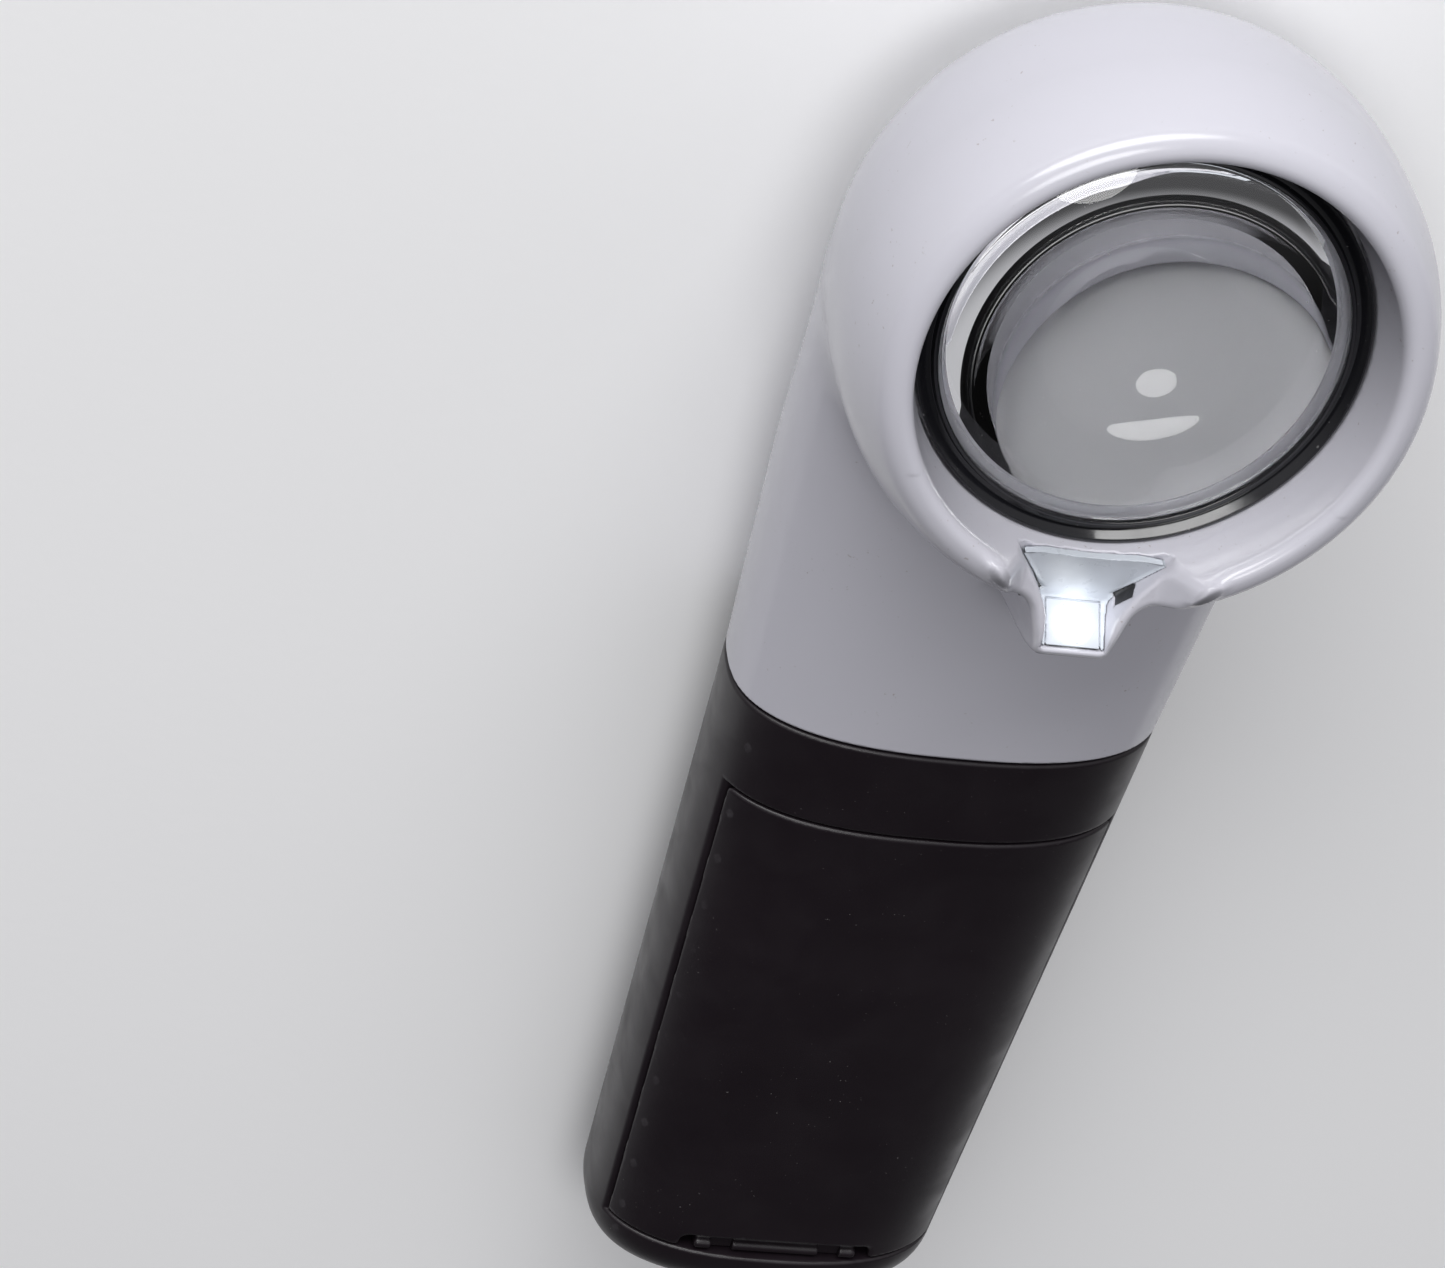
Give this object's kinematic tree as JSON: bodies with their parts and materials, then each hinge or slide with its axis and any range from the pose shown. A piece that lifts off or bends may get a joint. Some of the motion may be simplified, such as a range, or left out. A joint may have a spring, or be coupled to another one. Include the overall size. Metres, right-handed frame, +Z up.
{
  "type": "illuminated hand magnifier",
  "caption": "Illuminated low vision hand magnifier: thick convex lens in a round white head with a lamp spout, on a flat black battery handle.",
  "frame": {"origin": "middle of the bounding box's bottom face, on the plane that the eye side rests on", "axes": "+Y from the lens head towards the handle's end, +Z up towards the page side, X across the handle"},
  "size_m": [0.0522, 0.1601, 0.0387],
  "materials": {
    "white_plastic": "gloss moulded, cool white",
    "handle_black": "satin moulded, near black",
    "ring_black": "gloss black, turned steps",
    "lens_clear": "polished clear acrylic",
    "led_white": "white ceramic and solder mask",
    "led_glow": "lit clear dome",
    "contact_steel": "nickel plated spring steel",
    "board_green": "green solder mask",
    "chip_black": "moulded black",
    "capacitor_tan": "ceramic",
    "cell_jacket": "plain grey jacket",
    "wire_red": "soft insulation",
    "wire_black": "soft insulation"
  },
  "bodies": {
    "magnifier": {"head_housing": "white_plastic", "rear_cover": "white_plastic", "lens": "lens_clear", "lens_retaining_ring": "ring_black", "led_reflector": "white_plastic", "led_board": "led_white", "led_package": "led_white", "led_dome": "led_glow", "led_lead_red": "wire_red", "led_lead_black": "wire_black", "driver_board": "board_green", "driver_chip": "chip_black", "driver_inductor": "chip_black", "driver_capacitor": "capacitor_tan", "slide_switch": "contact_steel", "handle_body": "handle_black", "battery_left": "cell_jacket", "battery_right": "cell_jacket", "contact_spring_left": "contact_steel", "contact_spring_right": "contact_steel", "contact_plate_left": "contact_steel", "contact_plate_right": "contact_steel", "bridge_plate": "contact_steel", "battery_lead_red": "wire_red", "battery_lead_black": "wire_black", "neck_screw_left": "contact_steel", "neck_screw_right": "contact_steel"},
    "switch": {"switch_knob": "handle_black"},
    "door": {"battery_door": "handle_black"},
    "latch": {"door_latch": "handle_black"}
  },
  "joints": [
    {"name": "switch_slide", "type": "slide", "parent": "magnifier", "child": "switch", "axis": [0, 1, 0], "range_m": [-0.0027, 0]},
    {"name": "door_tilt", "type": "hinge", "parent": "magnifier", "child": "door", "pos_m": [0, 0.01397, 0.02155], "axis": [1, 0, 0], "range_deg": [0, 50]},
    {"name": "latch_press", "type": "slide", "parent": "magnifier", "child": "latch", "axis": [0, 0, -1], "range_m": [0, 0.0008], "stiffness_N_per_m": 600}
  ]
}
